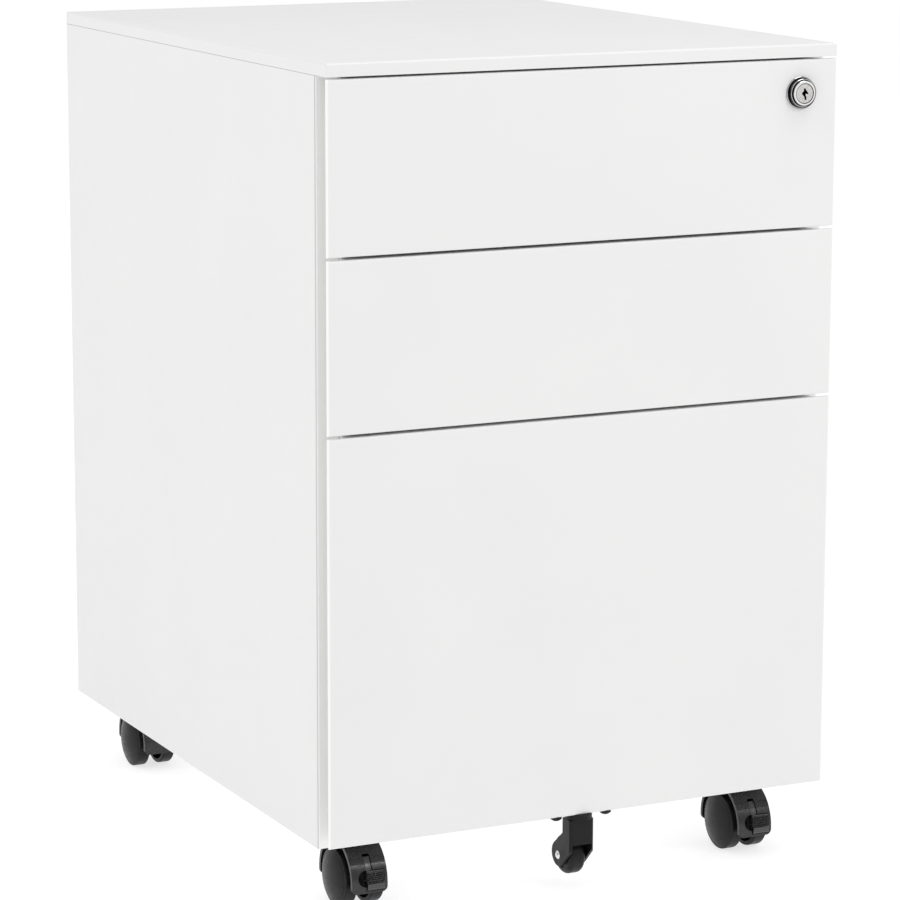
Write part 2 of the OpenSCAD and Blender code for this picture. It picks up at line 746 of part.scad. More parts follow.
// Rocker pedal: ribbed tread above a smooth lip, a knuckle on the pivot, and the
// arm that lies in the slot up the middle of the hood
module brake_pedal() color([0.1, 0.1, 0.11]) {
    ay = -caster_trail;
    ribs = 6;
    rib_z0 = pedal_z[0] + 5.6;
    rib_h = (pedal_z[1] - rib_z0) / ribs;
    face = ay - hood_r - 0.6;
    difference() {
        union() {
            along_x(pedal_x[0], pedal_x[1]) polygon(concat(
                [[ay - hood_r + 3, pedal_z[0]], [face + 0.4, pedal_z[0]],
                 [face - 1, pedal_z[0] + 1.4], [face - 1.2, rib_z0 - 0.6]],
                [for (n = [0 : ribs - 1], k = [0, 1])
                    [face + 0.9 * k + 0.12 * n, rib_z0 + (n + 0.55 * k) * rib_h]],
                [[face + 1.4, pedal_z[1]], [ay - hood_r + 3, pedal_z[1]]]
            ));
            rod_x([pedal_x[0], ay + pivot[0], pivot[1]], 2.2, pedal_x[1] - pedal_x[0]);
            intersection() {
                difference() {
                    rod_x([-arm_x, ay, axle_z], hood_r - 0.6, 2 * arm_x);
                    rod_x([-arm_x - 1, ay, axle_z], hood_r - 3.2, 2 * arm_x + 2);
                }
                block([-arm_x, ay - hood_r, pedal_z[1] - 2], [arm_x, ay - 12, axle_z + 18.3]);
            }
        }
        rod_x([pedal_x[0] - 1, ay + pivot[0], pivot[1]], pivot_r + run_fit, 20);
    }
}

// Right-hand wheel of a pair: flat tread, rounded shoulder and a smooth domed cap
module wheel() color([0.1, 0.1, 0.1]) {
    r = wheel_d / 2;
    cap = wheel_out - tread_out - 1;
    cap_r = ((r - 1) * (r - 1) + cap * cap) / (2 * cap);
    translate([0, -caster_trail, axle_z]) rotate([0, 90, 0]) rotate_extrude() difference() {
        intersection() {
            union() {
                rounded([-r, wheel_in], [r, tread_out + 1], 1);
                intersection() {
                    translate([0, wheel_out - cap_r]) circle(cap_r, $fn = 128);
                    translate([-r + 1, tread_out]) square([2 * r - 2, cap + 2]);
                }
            }
            translate([0, wheel_in]) square([r, wheel_out - wheel_in]);
        }
        translate([-1, wheel_in - 1]) square([axle_d / 2 + run_fit + 1, wheel_out - wheel_in - 3]);
        translate([r * 0.45, wheel_in - 1]) square([r * 0.4, 6]);
    }
}

module axle() color("silver")
    rod_x([-wheel_out + 4.3, -caster_trail, axle_z], axle_d / 2, 2 * (wheel_out - 4.3));

module at_caster(n) { translate([caster_spots()[n][0], caster_spots()[n][1], 0]) children(); }

// ---------------------------------------------------------------- anti-tip caster

module tip_plate() color([0.15, 0.15, 0.16]) {
    z = fronts[2][0];
    x = tip_screw_pitch / 2 + 6.5;
    difference() {
        block([-x, face_y + sheet_t + 0.5, z + sheet_t], [x, pan_back_y - 1.5, z + sheet_t + 2.5]);
        for (x = [-tip_screw_pitch / 2, tip_screw_pitch / 2])
            rod_z([x, tip_screw_y, z], 1.9, 5);
    }
    // Swivel race under the front, its pin and the riveted end of the pin
    rod_z([0, tip_y, tip_top_z + slip], tip_fork_w / 2, z - tip_top_z - slip);
    rod_z([0, tip_y, tip_top_z - tip_fork_t - slip - 1.5], kingpin_d / 2, z - tip_top_z + 8);
    rod_z([0, tip_y, tip_top_z - tip_fork_t - slip - 1.5], kingpin_d / 2 + 0.7, 1.5);
}

module tip_screws() color([0.15, 0.15, 0.16])
    for (x = [-tip_screw_pitch / 2, tip_screw_pitch / 2])
        pan_screw([x, tip_screw_y, fronts[2][0]], tip_screw_r, 3.2, 1.9, sheet_t + 2.4);

// Pressed fork: a flat web across the front with rounded corners, a top plate and
// two legs that swell round the axle
module tip_fork() color([0.12, 0.12, 0.13]) {
    w = tip_fork_w / 2;
    y0 = tip_y - 6;
    y1 = tip_y + 6;
    web_z = tip_axle_z + 11.3;
    eye_r = 9;
    bend_r = 2.4;
    difference() {
        intersection() {
            union() {
                block([-w, y0, web_z], [w, y0 + tip_fork_t, tip_top_z]);
                block([-w, y0, tip_top_z - tip_fork_t], [w, y1, tip_top_z]);
                mirrored_x() along_x(w - tip_fork_t, w) {
                    translate([y0, web_z - 2]) square([y1 - y0, tip_top_z - web_z + 2]);
                    polygon([[y0, web_z], [y1, web_z + 7], [tip_axle_y + 6, tip_axle_z + 7.7],
                             [tip_axle_y, tip_axle_z], [tip_axle_y - 6.4, tip_axle_z - 5.3],
                             [y0, web_z - 4]]);
                    translate([tip_axle_y, tip_axle_z + 1]) circle(eye_r);
                }
            }
            translate([0, 0, tip_axle_z - eye_r]) linear_extrude(tip_top_z)
                rounded([-w, y0], [w, tip_axle_y + 2 * eye_r], bend_r);
        }
        rod_z([0, tip_y, tip_top_z - 5], kingpin_d / 2 + run_fit, 8);
        rod_x([-w - 1, tip_axle_y, tip_axle_z], 2.5, 2 * w + 2);
    }
}

// Rivet with a domed head at each end
module tip_axle() color("silver") {
    w = tip_fork_w / 2;
    rod_x([-w, tip_axle_y, tip_axle_z], 2.5 - 0.02, 2 * w);
    mirrored_x() intersection() {
        translate([w - 2.6, tip_axle_y, tip_axle_z]) sphere(4);
        rod_x([w, tip_axle_y, tip_axle_z], 3.6, 1.6);
    }
}

module tip_wheel() color([0.1, 0.1, 0.1])
    translate([0, tip_axle_y, tip_axle_z]) rotate([0, 90, 0]) rotate_extrude() difference() {
        rounded([-tip_wheel_d / 2, -tip_wheel_w / 2], [tip_wheel_d / 2, tip_wheel_w / 2], 4);
        translate([-20, -10]) square([20 + 2.5 + run_fit, 20]);
        for (s = [-1, 1]) translate([5, s * tip_wheel_w / 2 - 1]) square([4.5, 2]);
    }

// ---------------------------------------------------------------- assembly

top_panel();
left_side_panel();
right_side_panel();
back_panel();
base_panel();
front_rail();
slide_uprights();
slide_screws();
outer_slides(0);  // outer_slides_1
outer_slides(1);  // outer_slides_2
outer_slides(2);  // outer_slides_3
middle_slides(0);  // middle_slides_1
middle_slides(1);  // middle_slides_2
middle_slides(2);  // middle_slides_3
outer_cages(0);  // outer_cages_1
outer_cages(1);  // outer_cages_2
outer_cages(2);  // outer_cages_3
inner_cages(0);  // inner_cages_1
inner_cages(1);  // inner_cages_2
inner_cages(2);  // inner_cages_3
drawer_front_1();
drawer_front_2();
drawer_front_3();
drawer_box(0);  // drawer_box_1
drawer_box(1);  // drawer_box_2
drawer_box(2);  // drawer_box_3
runners(0);  // runners_1
runners(1);  // runners_2
runners(2);  // runners_3
file_rails();
lock_housing();
lock_nut();
lock_plug();
lock_cam();
lock_bar();
lock_hooks();
caster_plates();
at_caster(0) hood(true);  // hood_front_left
at_caster(1) hood(true);  // hood_front_right
at_caster(2) hood(false);  // hood_back_left
at_caster(3) hood(false);  // hood_back_right
at_caster(0) axle();  // axle_front_left
at_caster(1) axle();  // axle_front_right
at_caster(2) axle();  // axle_back_left
at_caster(3) axle();  // axle_back_right
at_caster(0) mirror([1, 0, 0]) wheel();  // wheel_front_left_a
at_caster(0) wheel();  // wheel_front_left_b
at_caster(1) mirror([1, 0, 0]) wheel();  // wheel_front_right_a
at_caster(1) wheel();  // wheel_front_right_b
at_caster(2) mirror([1, 0, 0]) wheel();  // wheel_back_left_a
at_caster(2) wheel();  // wheel_back_left_b
at_caster(3) mirror([1, 0, 0]) wheel();  // wheel_back_right_a
at_caster(3) wheel();  // wheel_back_right_b
at_caster(0) brake_pedal();  // brake_pedal_left
at_caster(1) brake_pedal();  // brake_pedal_right
tip_plate();
tip_screws();
tip_fork();
tip_axle();
tip_wheel();
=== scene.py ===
# %% [markdown]
# # A white mobile filing cabinet, dressed in Blender
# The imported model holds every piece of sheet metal, slide, lock and caster at its true size.
# This lesson gives each of them its finish, adds the fine shapes that only the eye needs, and
# sets up a camera and a soft studio. Every length is in metres.

# %% Load the frame
import json
import math

import bpy
import numpy as np
from mathutils import Matrix, Vector


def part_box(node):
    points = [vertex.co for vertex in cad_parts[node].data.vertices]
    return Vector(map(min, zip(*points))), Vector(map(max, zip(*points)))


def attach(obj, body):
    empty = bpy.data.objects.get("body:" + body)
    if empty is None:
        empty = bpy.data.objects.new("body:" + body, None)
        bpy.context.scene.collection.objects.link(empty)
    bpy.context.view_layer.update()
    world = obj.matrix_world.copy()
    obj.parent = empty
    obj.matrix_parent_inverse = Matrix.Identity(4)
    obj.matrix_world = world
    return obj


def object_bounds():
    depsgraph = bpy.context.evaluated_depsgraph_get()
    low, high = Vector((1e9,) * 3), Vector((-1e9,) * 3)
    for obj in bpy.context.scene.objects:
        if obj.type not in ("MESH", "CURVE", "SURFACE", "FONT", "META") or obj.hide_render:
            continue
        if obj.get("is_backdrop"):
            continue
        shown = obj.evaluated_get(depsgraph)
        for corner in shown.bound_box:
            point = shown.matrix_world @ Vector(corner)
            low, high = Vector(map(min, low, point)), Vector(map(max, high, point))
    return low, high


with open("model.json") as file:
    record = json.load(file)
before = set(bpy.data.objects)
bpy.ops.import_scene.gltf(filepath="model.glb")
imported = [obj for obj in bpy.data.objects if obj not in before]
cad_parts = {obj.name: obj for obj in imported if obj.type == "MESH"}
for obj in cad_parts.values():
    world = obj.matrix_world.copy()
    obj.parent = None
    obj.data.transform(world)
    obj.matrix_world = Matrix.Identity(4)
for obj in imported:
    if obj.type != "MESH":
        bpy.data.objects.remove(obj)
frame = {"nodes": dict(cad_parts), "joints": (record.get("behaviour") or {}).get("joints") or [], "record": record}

cad_low, cad_high = (tuple(corner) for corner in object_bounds())
nodes = frame["nodes"]
joints = {joint["name"]: joint for joint in frame["joints"]}
body_of = {node: body for body, members in frame["record"]["behaviour"]["bodies"].items()
           for node in members}

# %% [markdown]
# ## The camera
# A long lens from a little above the top panel, left of the front. The heading, the dip and the
# roll turn a camera that first looks along +Y, so each can be read and set by itself.

# %% Place the camera
EYE = Vector((-1.176, -2.4358, 0.8065))
HEADING = math.radians(26.02)
DIP = math.radians(11.12)
ROLL = math.radians(0.136)
SENSOR = 36.0
LENS = 147.58
FARTHEST = 50

camera = bpy.data.objects.new("camera", bpy.data.cameras.new("camera"))
bpy.context.scene.collection.objects.link(camera)
camera.data.sensor_width = SENSOR
camera.data.lens = LENS
camera.data.clip_end = FARTHEST
turn = (Matrix.Rotation(-HEADING, 4, "Z") @ Matrix.Rotation(math.pi / 2 - DIP, 4, "X")
        @ Matrix.Rotation(ROLL, 4, "Z"))
camera.matrix_world = Matrix.Translation(EYE) @ turn
bpy.context.scene.camera = camera
print("camera looks along", tuple(round(c, 3) for c in turn @ Vector((0, 0, -1))))

# %% [markdown]
# ## The studio
# White things look white when light comes from everywhere. An even sky does most of the work.
# A softbox overhead keeps the top bright, a small lamp on the right puts the highlights on the
# black nylon, and a broad lamp on the left lifts the side panel. The floor is a light table: it
# glows a little by itself, so the shadow under the cabinet stays faint. The standard view
# transform keeps white at white.

# %% Sky, lamps and floor
SKY = 0.695
FLOOR_SIZE = 30.0
FLOOR_GLOW = 0.715
FLOOR_WHITE = 0.43

scene = bpy.context.scene
scene.view_settings.view_transform = "Standard"
world = bpy.data.worlds.new("studio sky")
scene.world = world
world.use_nodes = True
world.node_tree.nodes["Background"].inputs["Color"].default_value = (1, 1, 1, 1)
world.node_tree.nodes["Background"].inputs["Strength"].default_value = SKY


def soft_lamp(name, place, target, size, power):
    """A square area lamp at place, aimed at target."""
    lamp = bpy.data.lights.new(name, "AREA")
    lamp.size = size
    lamp.energy = power
    thing = bpy.data.objects.new(name, lamp)
    scene.collection.objects.link(thing)
    thing.location = place
    thing.rotation_euler = (Vector(target) - Vector(place)).to_track_quat("-Z", "Y").to_euler()
    return thing


middle = (Vector(cad_low) + Vector(cad_high)) / 2
soft_lamp("softbox", middle + 2.0 * Vector((0.26, -0.30, 0.92)), middle, 0.9, 7)
soft_lamp("glint lamp", (1.12, -2.07, 1.72), (0, -0.2, 0.03), 0.22, 8.5)
soft_lamp("side lamp", middle + 2.6 * Vector((-0.66, -0.10, 0.74)), middle, 1.6, 15)

bpy.ops.mesh.primitive_plane_add(size=FLOOR_SIZE)
floor = bpy.context.object
floor.name = "studio_floor"
paper = bpy.data.materials.new("studio paper")
paper.use_nodes = True
shade = paper.node_tree.nodes["Principled BSDF"]
shade.inputs["Base Color"].default_value = (FLOOR_WHITE, FLOOR_WHITE, FLOOR_WHITE, 1)
shade.inputs["Emission Color"].default_value = (1, 1, 1, 1)
shade.inputs["Emission Strength"].default_value = FLOOR_GLOW
shade.inputs["Roughness"].default_value = 1.0
shade.inputs["Specular IOR Level"].default_value = 0.0
floor.data.materials.append(paper)
floor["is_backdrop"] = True
print("studio: sky", SKY, "three lamps and a glowing floor")

# %% [markdown]
# ## Finishes
# Each finish is a small graph of noise textures that read Object coordinates, so a pattern keeps
# its real size on every piece and stays put when a drawer slides. A helper makes the noise, and
# one function per finish joins it to the shader.

# %% Helpers for node graphs
MM = 0.001


def new_finish(name, colour, roughness, metallic=0.0):
    """A material with a Principled shader, and the tree and shader to build on."""
    made = bpy.data.materials.new(name)
    made.use_nodes = True
    tree = made.node_tree
    shader = tree.nodes["Principled BSDF"]
    shader.inputs["Base Color"].default_value = (*colour, 1)
    shader.inputs["Roughness"].default_value = roughness
    shader.inputs["Metallic"].default_value = metallic
    return made, tree, shader


def noise(tree, size, detail=2.0, stretch=(1, 1, 1)):
    """Noise in Object coordinates whose lumps are about size across, longer along the axes
    where stretch is above 1."""
    place = tree.nodes.new("ShaderNodeTexCoord")
    mapping = tree.nodes.new("ShaderNodeMapping")
    mapping.inputs["Scale"].default_value = [1 / s for s in stretch]
    tree.links.new(place.outputs["Object"], mapping.inputs["Vector"])
    made = tree.nodes.new("ShaderNodeTexNoise")
    made.inputs["Scale"].default_value = 1 / size
    made.inputs["Detail"].default_value = detail
    tree.links.new(mapping.outputs["Vector"], made.inputs["Vector"])
    return made.outputs["Fac"]


def spread(tree, value, low, high, start=0.3, end=0.7):
    """Maps value from start..end to low..high."""
    made = tree.nodes.new("ShaderNodeMapRange")
    made.inputs["From Min"].default_value = start
    made.inputs["From Max"].default_value = end
    made.inputs["To Min"].default_value = low
    made.inputs["To Max"].default_value = high
    tree.links.new(value, made.inputs["Value"])
    return made.outputs["Result"]


def math_node(tree, operation, *values):
    """One arithmetic step on sockets and plain numbers."""
    made = tree.nodes.new("ShaderNodeMath")
    made.operation = operation
    for socket, value in zip(made.inputs, values):
        if isinstance(value, (int, float)):
            socket.default_value = value
        else:
            tree.links.new(value, socket)
    return made.outputs["Value"]


def object_xyz(tree):
    """The X, Y and Z sockets of the Object coordinates."""
    place = tree.nodes.new("ShaderNodeTexCoord")
    parts = tree.nodes.new("ShaderNodeSeparateXYZ")
    tree.links.new(place.outputs["Object"], parts.inputs["Vector"])
    return parts.outputs["X"], parts.outputs["Y"], parts.outputs["Z"]


def line_at(tree, value, centre, half_width):
    """1 where value is at centre, falling to 0 at half_width to either side."""
    away = math_node(tree, "ABSOLUTE", math_node(tree, "SUBTRACT", value, centre))
    return spread(tree, away, 1.0, 0.0, 0.5 * half_width, half_width)


def tint(tree, shader, amount, colour):
    """Lays colour over what the shader's base colour already is, by amount."""
    made = tree.nodes.new("ShaderNodeMix")
    made.data_type = "RGBA"
    base = shader.inputs["Base Color"]
    if base.links:
        tree.links.new(base.links[0].from_socket, made.inputs["A"])
    else:
        made.inputs["A"].default_value = base.default_value
    made.inputs["B"].default_value = (*colour, 1)
    tree.links.new(amount, made.inputs["Factor"])
    tree.links.new(made.outputs["Result"], base)


def blend_colours(tree, value, first, second):
    """A colour that goes from first to second as value goes from 0 to 1."""
    made = tree.nodes.new("ShaderNodeMix")
    made.data_type = "RGBA"
    made.inputs["A"].default_value = (*first, 1)
    made.inputs["B"].default_value = (*second, 1)
    tree.links.new(value, made.inputs["Factor"])
    return made.outputs["Result"]


def bump(tree, shader, heights, depth, below=None):
    """Bump of the given depth in metres from heights between 0 and 1."""
    made = tree.nodes.new("ShaderNodeBump")
    made.inputs["Strength"].default_value = 1.0
    made.inputs["Distance"].default_value = depth
    tree.links.new(heights, made.inputs["Height"])
    if below is not None:
        tree.links.new(below, made.inputs["Normal"])
    tree.links.new(made.outputs["Normal"], shader.inputs["Normal"])
    return made.outputs["Normal"]


# %% [markdown]
# ### Powder coats
# Baked powder has a fine, even orange peel of about a millimetre, broad soft swells where the
# sheet is not quite flat, and a low gloss. Handling leaves faint cooler patches. The side panels'
# front flanges are painted lighter as painted light, the bends of the drawer fronts carry a
# painted highlight, and the seam under the top panel and each flange's bend carry painted shade.

# %% Powder coats
def powder_coat(name, colour, shaded, roughness, shine):
    """Semi-gloss powder coat: orange peel for bump, two scales of gloss, a faint tint drift."""
    made, tree, shader = new_finish(name, colour, roughness)
    drift = spread(tree, noise(tree, 90 * MM, 2.0), 0.0, 1.0)
    tree.links.new(blend_colours(tree, drift, shaded, colour), shader.inputs["Base Color"])
    gloss = spread(tree, noise(tree, 14 * MM, 3.0), roughness - 0.05, roughness + 0.06)
    tree.links.new(gloss, shader.inputs["Roughness"])
    swell = bump(tree, shader, noise(tree, 60 * MM, 1.0), 0.05 * MM)
    bump(tree, shader, noise(tree, 1.1 * MM, 1.5), 0.012 * MM, below=swell)
    shader.inputs["Specular IOR Level"].default_value = shine
    return made


WHITE, SHADED_WHITE = (0.805, 0.805, 0.802), (0.791, 0.792, 0.791)
WHITE_ROUGHNESS, WHITE_SHINE = 0.38, 0.45


def white_powder(name):
    """The cabinet's white coat."""
    return powder_coat(name, WHITE, SHADED_WHITE, WHITE_ROUGHNESS, WHITE_SHINE)


# Painted light: a lighter white for the side panels' front flanges, and a painted highlight white for the drawer
# fronts' side bends.
FLANGE_PAINTED_LIGHT_WHITE, PAINTED_HIGHLIGHT_WHITE = (0.95, 0.95, 0.94), (0.93, 0.93, 0.91)
# Painted shade: the grey of the lines in the seam under the top panel and along the flange's bend.
PAINTED_SHADE_GREY = (0.34, 0.34, 0.34)
SEAM_HALF, FOLD_HALF, BEND_HALF = 0.5 * MM, 0.6 * MM, 1.6 * MM
FOLD_INSET = 0.9 * MM
FOLD_SHARE = 0.6


def side_coat(front, top):
    """White coat for the side panels. The front flange is painted lighter, as painted light over the
    shade of its groove, and the seam under the top panel and the bend of the flange carry painted shade as fine
    grey lines."""
    made = white_powder("side powder coat")
    tree = made.node_tree
    shader = tree.nodes["Principled BSDF"]
    _, along, up = object_xyz(tree)
    # Painted light: the front flange is lightened where its groove shades it.
    flange = spread(tree, along, 1.0, 0.0, front + 0.2 * MM, front + 0.5 * MM)
    tint(tree, shader, flange, FLANGE_PAINTED_LIGHT_WHITE)
    # Painted shade: grey lines in the seam under the top panel and along the bend of the flange.
    seam = line_at(tree, up, top, SEAM_HALF)
    fold = line_at(tree, along, front + FOLD_INSET, FOLD_HALF)
    fold = math_node(tree, "MULTIPLY", fold, FOLD_SHARE)
    tint(tree, shader, math_node(tree, "MAXIMUM", seam, fold), PAINTED_SHADE_GREY)
    return made


def front_coat(left, right):
    """White coat for the drawer fronts, with a painted highlight along the bend at each side."""
    made = white_powder("front powder coat")
    tree = made.node_tree
    across, _, _ = object_xyz(tree)
    # Painted highlight: a lighter band along the bend at each side edge of a drawer front.
    for edge in (left, right):
        tint(tree, tree.nodes["Principled BSDF"], line_at(tree, across, edge, BEND_HALF),
             PAINTED_HIGHLIGHT_WHITE)
    return made


white_coat = white_powder("white powder coat")
side_low, side_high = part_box("left_side_panel")
side_white = side_coat(side_low[1], side_high[2])
front_low, front_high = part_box("drawer_front_1")
front_white = front_coat(front_low[0], front_high[0])
black_coat = powder_coat("black powder coat", (0.008, 0.008, 0.009), (0.006, 0.006, 0.007),
                         0.40, 0.21)
print("powder coats:", ", ".join(coat.name for coat in (white_coat, side_white, front_white,
                                                       black_coat)))

# %% [markdown]
# ### Steel, chrome and nylon
# Zinc-plated steel shows crystal patches and rolling lines along the strip. Chrome is a mirror
# with a trace of polishing haze. Moulded nylon is near black with a spark-eroded grain. The
# wheels are duller than the hoods, and the brake pedals are polished by shoes.

# %% Zinc-plated steel
def zinc_steel():
    """Bright zinc plate: faint crystal patches over fine rolling lines along Y."""
    made, tree, shader = new_finish("zinc plate", (0.62, 0.63, 0.65), 0.34, 1.0)
    patches = spread(tree, noise(tree, 5 * MM, 3.0), 0.0, 1.0)
    tree.links.new(blend_colours(tree, patches, (0.56, 0.575, 0.60), (0.68, 0.685, 0.69)),
                   shader.inputs["Base Color"])
    lines = noise(tree, 0.5 * MM, 2.0, stretch=(1, 60, 1))
    tree.links.new(spread(tree, lines, 0.26, 0.44), shader.inputs["Roughness"])
    bump(tree, shader, lines, 0.006 * MM)
    return made


def chrome():
    """Polished chrome with a light haze and fine hairlines."""
    made, tree, shader = new_finish("chrome", (0.80, 0.80, 0.81), 0.09, 1.0)
    haze = spread(tree, noise(tree, 2.2 * MM, 3.0), 0.06, 0.17)
    tree.links.new(haze, shader.inputs["Roughness"])
    bump(tree, shader, noise(tree, 0.4 * MM, 2.0, stretch=(1, 1, 6)), 0.0015 * MM)
    return made


def nylon(name, colour, dusty, roughness, shine, grain):
    """Moulded nylon: a fine grain, dust that greys the colour, and a gloss that varies from place to place."""
    made, tree, shader = new_finish(name, colour, roughness)
    shader.inputs["Specular IOR Level"].default_value = shine
    dust = spread(tree, noise(tree, 7 * MM, 4.0), 0.0, 1.0, 0.42, 0.68)
    tree.links.new(blend_colours(tree, dust, colour, dusty), shader.inputs["Base Color"])
    tree.links.new(spread(tree, noise(tree, 3 * MM, 3.0), roughness - 0.05, roughness + 0.08),
                   shader.inputs["Roughness"])
    bump(tree, shader, noise(tree, 0.35 * MM, 2.0), grain)
    return made


def radius_about(tree, centre):
    """Distance in X and Z from the axis through centre."""
    across, _, up = object_xyz(tree)
    right = math_node(tree, "SUBTRACT", across, centre[0])
    high = math_node(tree, "SUBTRACT", up, centre[1])
    return math_node(tree, "SQRT", math_node(tree, "ADD", math_node(tree, "MULTIPLY", right, right),
                                             math_node(tree, "MULTIPLY", high, high)))


LINE_SHIFT = 0.25 * MM
CORNER_HALF, BORE_HALF, EDGE_HALF = 0.6 * MM, 0.35 * MM, 0.4 * MM


def turned_lock(centre, flange_r, corners, bore_r):
    """Chrome with a greyer flange, a dark line round the bore, and painted shade as a dark line in each
    turned corner. The painted shade lines widen towards the lower right, where the rings fall away from the light."""
    made = chrome()
    made.name = "lock chrome"
    tree = made.node_tree
    shader = tree.nodes["Principled BSDF"]
    radius = radius_about(tree, centre)
    tint(tree, shader, spread(tree, radius, 0.0, 1.0, flange_r, flange_r + 0.1 * MM),
         (0.42, 0.42, 0.43))
    dark = line_at(tree, radius, bore_r, BORE_HALF)
    # Painted shade: dark lines in the turned corners, about a centre moved a little up and to the left.
    shifted = radius_about(tree, (centre[0] - LINE_SHIFT, centre[1] + LINE_SHIFT))
    for corner in corners:
        dark = math_node(tree, "MAXIMUM", dark, line_at(tree, shifted, corner, CORNER_HALF))
    tint(tree, shader, dark, (0.02, 0.02, 0.02))
    return made


def plug_metal(centre, edge_r, face_y):
    """Satin nickel with fine specks, dark at the plug's edge, and painted shade that makes everything set back
    behind the plug's face black, down the keyway.
    """
    made, tree, shader = new_finish("plug metal", (0.66, 0.65, 0.63), 0.38, 1.0)
    specks = spread(tree, noise(tree, 0.5 * MM, 2.0), 0.0, 1.0, 0.35, 0.65)
    tree.links.new(blend_colours(tree, specks, (0.52, 0.51, 0.49), (0.74, 0.73, 0.71)),
                   shader.inputs["Base Color"])
    tree.links.new(spread(tree, specks, 0.30, 0.46, 0.0, 1.0), shader.inputs["Roughness"])
    edge = line_at(tree, radius_about(tree, centre), edge_r, EDGE_HALF)
    tint(tree, shader, edge, (0.05, 0.05, 0.05))
    # Painted shade: black down the keyway, on everything set back behind the plug's face.
    _, depth, _ = object_xyz(tree)
    tint(tree, shader, spread(tree, depth, 0.0, 1.0, face_y + 0.1 * MM, face_y + 0.3 * MM),
         (0.01, 0.01, 0.01))
    bump(tree, shader, specks, 0.01 * MM)
    return made


zinc = zinc_steel()
bright_chrome = chrome()
lock_low, lock_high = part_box("lock_housing")
lock_centre = ((lock_low[0] + lock_high[0]) / 2, (lock_low[2] + lock_high[2]) / 2)
lock_radius = (lock_high[0] - lock_low[0]) / 2
STEPS = [1.3 * MM, 2.5 * MM]    # how far in from the rim the housing's turned corners lie
plug_low, plug_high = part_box("lock_plug")
plug_radius = (plug_high[0] - plug_low[0]) / 2
lock_chrome = turned_lock(lock_centre, lock_radius - STEPS[0],
                          [lock_radius - step for step in STEPS], plug_radius)
plug_satin = plug_metal(lock_centre, plug_radius, plug_low[1])
hood_nylon = nylon("hood nylon", (0.006, 0.006, 0.007), (0.010, 0.010, 0.011), 0.24, 0.58,
                   0.011 * MM)
pedal_nylon = nylon("pedal nylon", (0.005, 0.005, 0.006), (0.008, 0.008, 0.009), 0.24, 0.95,
                    0.004 * MM)
wheel_nylon = nylon("wheel nylon", (0.0085, 0.0085, 0.0095), (0.014, 0.014, 0.013), 0.36, 0.20,
                    0.006 * MM)
print("metals and nylons made")

# %% Give every node its finish
FINISHES = {
    "white_powder_coat": white_coat,
    "zinc_steel": zinc,
    "chrome": bright_chrome,
    "black_steel": black_coat,
    "black_nylon": hood_nylon,
    "wheel_nylon": wheel_nylon,
}
SPECIAL = {"lock_housing": lock_chrome, "lock_plug": plug_satin,
           "left_side_panel": side_white, "right_side_panel": side_white,
           **{f"drawer_front_{n}": front_white for n in (1, 2, 3)},
           "brake_pedal_left": pedal_nylon, "brake_pedal_right": pedal_nylon}
for part in frame["record"]["subparts"]:
    mesh = nodes[part["node"]].data
    mesh.materials.clear()
    mesh.materials.append(SPECIAL.get(part["node"], FINISHES[part["material_slot"]]))

# %% [markdown]
# ## Fine pieces
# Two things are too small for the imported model: the moulded line round each wheel's cap, and
# the pan-head screws that hold the caster plates. Both are closed surfaces computed from
# formulas, and they ride on the same bodies as the parts that they sit on.

# %% Surfaces from grids
def wrapped_quads(rows, columns, close_rows):
    """Quads of a grid whose columns wrap round, and whose rows do too where close_rows."""
    row = np.arange(rows if close_rows else rows - 1)[:, None]
    column = np.arange(columns)[None, :]
    after, beside = (row + 1) % rows, (column + 1) % columns
    corners = [row * columns + column, row * columns + beside,
               after * columns + beside, after * columns + column]
    return np.stack(np.broadcast_arrays(*corners), axis=-1).reshape(-1, 4)


def solid(name, points, faces, material, body):
    """A smooth closed piece made of points and faces, turned so that its normals face out."""
    corners = [points[np.array(face)] for face in faces]
    volume = sum(np.dot(c[0], np.cross(c[k], c[k + 1])) for c in corners
                 for k in range(1, len(c) - 1))
    if volume < 0:
        faces = [face[::-1] for face in faces]
    mesh = bpy.data.meshes.new(name)
    mesh.from_pydata(points.tolist(), [], [list(map(int, face)) for face in faces])
    mesh.polygons.foreach_set("use_smooth", np.ones(len(mesh.polygons), dtype=bool))
    mesh.materials.append(material)
    piece = bpy.data.objects.new(name, mesh)
    scene.collection.objects.link(piece)
    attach(piece, body)
    return piece


# %% [markdown]
# The line on a cap is a thin torus. Its centre runs at a fixed radius about the axle, on the
# sphere of the cap, whose height over its own edge follows from the wheel's and the hood's box.

# %% Lines on the wheel caps
LINE_R = 0.28 * MM
LINE_INSET = 2.4 * MM
LINE_FLAT = 0.5                 # the line's height over its half width
CAP_INSET, CAP_STEP = 1 * MM, 1.5 * MM
TURNS, SECTION = 96, 8          # points round the axle and round the line's section
CASTERS = ["front_left", "front_right", "back_left", "back_right"]


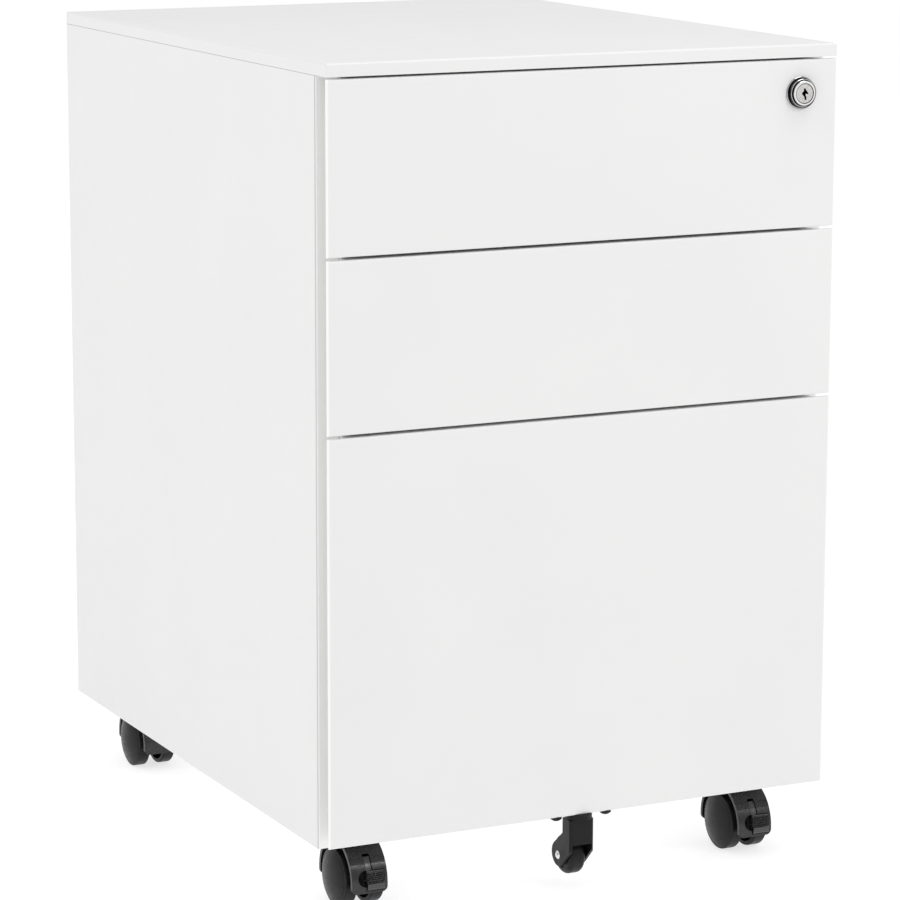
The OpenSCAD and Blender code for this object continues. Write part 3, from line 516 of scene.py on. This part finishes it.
def cap_line(caster, side):
    """Torus: radius + LINE_R cos a from the axle, and LINE_FLAT LINE_R sin a along it, for a
    once round the section and t once round the axle. Its centre lies on the cap's sphere."""
    wheel = f"wheel_{caster}_{side}"
    low, high = (np.array(corner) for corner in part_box(wheel))
    hood_low, hood_high = (np.array(corner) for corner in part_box(f"hood_{caster}"))
    middle_x = (hood_low[0] + hood_high[0]) / 2
    outward = np.sign(low[0] + high[0] - 2 * middle_x)
    face = high[0] if outward > 0 else low[0]
    wheel_r = (high[1] - low[1]) / 2
    edge = wheel_r - CAP_INSET
    rise = abs(face - middle_x) - (hood_high[0] - hood_low[0]) / 2 - CAP_STEP
    sphere_r = (edge ** 2 + rise ** 2) / (2 * rise)
    line = wheel_r - LINE_INSET
    drop = sphere_r - math.sqrt(sphere_r ** 2 - line ** 2)
    t, a = np.meshgrid(np.linspace(0, 2 * np.pi, TURNS, endpoint=False),
                       np.linspace(0, 2 * np.pi, SECTION, endpoint=False), indexing="ij")
    radius = line + LINE_R * np.cos(a)
    points = np.stack([face - outward * drop + outward * LINE_R * LINE_FLAT * np.sin(a),
                       (low[1] + high[1]) / 2 + radius * np.cos(t),
                       (low[2] + high[2]) / 2 + radius * np.sin(t)], axis=-1).reshape(-1, 3)
    quads = wrapped_quads(TURNS, SECTION, True).tolist()
    return solid(f"cap_line_{caster}_{side}", points, quads, wheel_nylon, body_of[wheel])


lines = [cap_line(caster, side) for caster in CASTERS for side in "ab"]
print("cap lines:", len(lines))

# %% [markdown]
# A screw head is a height field over a round disc: a flat dome, less a cross whose arms have
# soft walls. The flat underside closes it.

# %% Screws of the caster plates
HEAD_R, HEAD_H = 3.9 * MM, 2.2 * MM
ARM_LENGTH, ARM_WIDTH, RECESS = 2.3 * MM, 0.55 * MM, 1.3 * MM
ARM_WALL = 0.25 * MM
DOME = 0.8                      # 0 leaves the head flat, 1 makes it half an ellipsoid
PLATE_T = 2.5 * MM
HOLE_INSET = 6 * MM
SIDES, RINGS = 64, 24
SCREW_TURN, CASTER_TURN = 0.7, 9


def arm(along, across):
    """1 inside one arm of the cross and 0 outside, with a wall ARM_WALL wide between them."""
    return (np.clip((ARM_LENGTH - np.abs(along)) / ARM_WALL + 0.5, 0, 1)
            * np.clip((ARM_WIDTH - np.abs(across)) / ARM_WALL + 0.5, 0, 1))


def screw_head(name, centre, turn_by):
    """Depth under the plate: HEAD_H times the root of 1 - DOME r^2, less RECESS in the cross."""
    t, r = np.meshgrid(np.linspace(0, 2 * np.pi, SIDES, endpoint=False),
                       np.linspace(0, 1, RINGS + 1)[1:], indexing="xy")
    along, across = HEAD_R * r * np.cos(t), HEAD_R * r * np.sin(t)
    cross = np.maximum(arm(along, across), arm(across, along))
    depth = HEAD_H * np.sqrt(1 - DOME * r ** 2) - RECESS * cross
    spin = t + turn_by
    top = np.stack([HEAD_R * r * np.cos(spin), HEAD_R * r * np.sin(spin), -depth], axis=-1)
    rim = top[-1] * np.array([1, 1, 0])
    points = np.vstack([top.reshape(-1, 3), rim, [[0, 0, RECESS - HEAD_H], [0, 0, 0]]])
    quads = wrapped_quads(RINGS + 1, SIDES, False).tolist()
    ring = np.arange(SIDES)
    last = RINGS * SIDES
    pole = last + SIDES
    fans = np.vstack([np.stack([np.roll(ring, -1), ring, np.full(SIDES, pole)], axis=-1),
                      np.stack([last + ring, last + np.roll(ring, -1),
                                np.full(SIDES, pole + 1)], axis=-1)])
    return solid(name, points + np.array(centre), quads + fans.tolist(), zinc, "cabinet")


_, plates_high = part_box("caster_plates")
plate_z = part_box("base_panel")[0][2] - PLATE_T
screws = []
for caster in CASTERS:
    pin = Vector(joints[f"swivel_{caster}"]["pos_m"])
    offset = plates_high[0] - abs(pin.x) - HOLE_INSET
    for n, (dx, dy) in enumerate([(-1, -1), (1, -1), (-1, 1), (1, 1)]):
        place = (pin.x + dx * offset, pin.y + dy * offset, plate_z)
        turn_by = SCREW_TURN * n + CASTER_TURN * pin.y
        screws.append(screw_head(f"plate_screw_{caster}_{n + 1}", place, turn_by))
print("plate screws:", len(screws))
